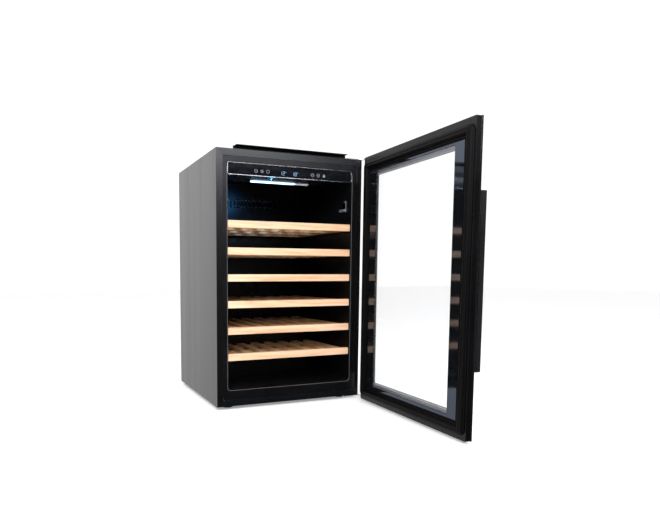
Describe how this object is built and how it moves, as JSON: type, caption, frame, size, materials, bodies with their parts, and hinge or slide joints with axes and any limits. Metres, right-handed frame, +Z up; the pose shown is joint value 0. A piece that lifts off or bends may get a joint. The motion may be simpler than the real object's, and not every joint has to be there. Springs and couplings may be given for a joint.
{
  "type": "wine cooler",
  "caption": "Undercounter wine cooler with a glass door on a side hinge, sliding wooden shelves, a touch control panel with a lamp, and a compressor behind the foot.",
  "frame": {"origin": "centre of the cabinet's footprint, on the floor under its feet", "axes": "+X to the right as seen from the front, +Y from the front to the back, +Z up; the door stands open at rest"},
  "size_m": [0.5615, 1.0609, 0.862],
  "materials": {
    "side_steel": "satin dark grey paint",
    "top_steel": "satin slate grey paint",
    "rear_steel": "satin dark grey coated sheet",
    "foam": "rigid foam, pale yellow",
    "liner_plastic": "vacuum-formed black, fine texture",
    "aluminium_tube": "plain",
    "fan_plastic": "moulded black",
    "control_plastic": "gloss black",
    "control_glass": "back-painted black glass",
    "bright_trim": "bright",
    "display": "pale blue display window",
    "print_white": "white print",
    "circuit_board": "green solder mask",
    "lamp_diffuser": "frosted diffuser over blue-white light",
    "sensor_plastic": "light grey moulding",
    "black_steel": "black paint",
    "zinc_steel": "zinc-plated",
    "rubber": "matte black",
    "copper": "drawn copper tube",
    "foot_plastic": "black nylon on a steel stud",
    "tinted_glass": "grey tinted",
    "door_frame_paint": "dark grey satin",
    "spacer_aluminium": "bright bar",
    "gasket_rubber": "black seal",
    "handle_paint": "dark grey satin",
    "front_wood": "light beech, clear coat",
    "rack_wood": "beech, oiled"
  },
  "bodies": {
    "cabinet": {"left_side_panel": "side_steel", "right_side_panel": "side_steel", "top_panel": "top_steel", "rear_panel": "rear_steel", "base_plate": "top_steel", "insulation_foam": "foam", "inner_liner": "liner_plastic", "shelf_runners": "liner_plastic", "evaporator_cover": "liner_plastic", "evaporator_coil": "aluminium_tube", "evaporator_fan_frame": "fan_plastic", "control_housing": "control_plastic", "control_glass": "control_glass", "control_trim": "bright_trim", "display_window": "display", "touch_icons": "print_white", "control_board": "circuit_board", "lamp_lens": "lamp_diffuser", "lamp_board": "circuit_board", "sensor_cover": "sensor_plastic", "top_fixing_rail": "black_steel", "cabinet_screws": "zinc_steel", "hinge_plate_top": "zinc_steel", "hinge_plate_bottom": "zinc_steel", "compressor": "black_steel", "compressor_mounts": "rubber", "terminal_box": "fan_plastic", "condenser_coil": "black_steel", "condenser_fan_frame": "fan_plastic", "drip_tray": "fan_plastic", "refrigerant_pipes": "copper", "power_inlet": "fan_plastic", "rear_cover": "rear_steel", "inlet_plate": "rear_steel"},
    "door": {"door_outer_glass": "tinted_glass", "door_frame": "door_frame_paint", "door_spacer": "spacer_aluminium", "door_inner_glass": "tinted_glass", "door_gasket": "gasket_rubber", "handle": "handle_paint", "handle_screws": "zinc_steel", "hinge_arms": "zinc_steel"},
    "shelf_1": {"shelf_front_1": "front_wood", "shelf_rack_1": "rack_wood"},
    "shelf_2": {"shelf_front_2": "front_wood", "shelf_rack_2": "rack_wood"},
    "shelf_3": {"shelf_front_3": "front_wood", "shelf_rack_3": "rack_wood"},
    "shelf_4": {"shelf_front_4": "front_wood", "shelf_rack_4": "rack_wood"},
    "shelf_5": {"shelf_front_5": "front_wood", "shelf_rack_5": "rack_wood"},
    "shelf_6": {"shelf_front_6": "front_wood", "shelf_rack_6": "rack_wood"},
    "evaporator_fan": {"evaporator_fan_blade": "fan_plastic"},
    "condenser_fan": {"condenser_fan_blade": "fan_plastic"},
    "levelling_foot_1": {"foot_1": "foot_plastic"},
    "levelling_foot_2": {"foot_2": "foot_plastic"},
    "levelling_foot_3": {"foot_3": "foot_plastic"},
    "levelling_foot_4": {"foot_4": "foot_plastic"}
  },
  "joints": [
    {"name": "door_hinge", "type": "hinge", "parent": "cabinet", "child": "door", "pos_m": [0.277, -0.271, 0.431], "axis": [0, 0, 1], "range_deg": [-87.5, 22.5]},
    {"name": "shelf_1_slide", "type": "slide", "parent": "cabinet", "child": "shelf_1", "axis": [0, -1, 0], "range_m": [0, 0.24]},
    {"name": "shelf_2_slide", "type": "slide", "parent": "cabinet", "child": "shelf_2", "axis": [0, -1, 0], "range_m": [0, 0.24]},
    {"name": "shelf_3_slide", "type": "slide", "parent": "cabinet", "child": "shelf_3", "axis": [0, -1, 0], "range_m": [0, 0.24]},
    {"name": "shelf_4_slide", "type": "slide", "parent": "cabinet", "child": "shelf_4", "axis": [0, -1, 0], "range_m": [0, 0.24]},
    {"name": "shelf_5_slide", "type": "slide", "parent": "cabinet", "child": "shelf_5", "axis": [0, -1, 0], "range_m": [0, 0.24]},
    {"name": "shelf_6_slide", "type": "slide", "parent": "cabinet", "child": "shelf_6", "axis": [0, -1, 0], "range_m": [0, 0.16]},
    {"name": "evaporator_fan_spin", "type": "hinge", "parent": "cabinet", "child": "evaporator_fan", "pos_m": [0, 0.174, 0.412], "axis": [0, 1, 0], "continuous": true},
    {"name": "condenser_fan_spin", "type": "hinge", "parent": "cabinet", "child": "condenser_fan", "pos_m": [0.09, 0.187, 0.0716], "axis": [0, 1, 0], "continuous": true},
    {"name": "foot_1_height", "type": "slide", "parent": "cabinet", "child": "levelling_foot_1", "axis": [0, 0, -1], "range_m": [0, 0.015]},
    {"name": "foot_2_height", "type": "slide", "parent": "cabinet", "child": "levelling_foot_2", "axis": [0, 0, -1], "range_m": [0, 0.015]},
    {"name": "foot_3_height", "type": "slide", "parent": "cabinet", "child": "levelling_foot_3", "axis": [0, 0, -1], "range_m": [0, 0.015]},
    {"name": "foot_4_height", "type": "slide", "parent": "cabinet", "child": "levelling_foot_4", "axis": [0, 0, -1], "range_m": [0, 0.015]}
  ]
}
